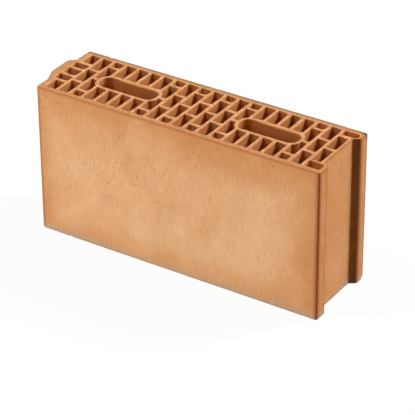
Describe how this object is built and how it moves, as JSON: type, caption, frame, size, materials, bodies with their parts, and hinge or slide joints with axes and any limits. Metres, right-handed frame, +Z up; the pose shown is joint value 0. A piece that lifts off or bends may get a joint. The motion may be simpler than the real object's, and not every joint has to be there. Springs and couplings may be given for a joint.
{
  "type": "perforated clay partition block",
  "caption": "Orange fired clay partition block with upright cells, a pair of grip slots, a tongue at one end and a groove at the other.",
  "frame": {"origin": "middle of the bottom of the whole block's box, tongue included", "axes": "+X along the block towards the grooved end, +Y across it towards the rear face, +Z up, along the cells"},
  "size_m": [0.5078, 0.14, 0.249],
  "materials": {
    "fired_clay": "matt fired clay, terracotta orange, wire-cut bed faces and fine extrusion grain on the sides"
  },
  "bodies": {
    "root": {"clay_block": "fired_clay"}
  },
  "joints": []
}
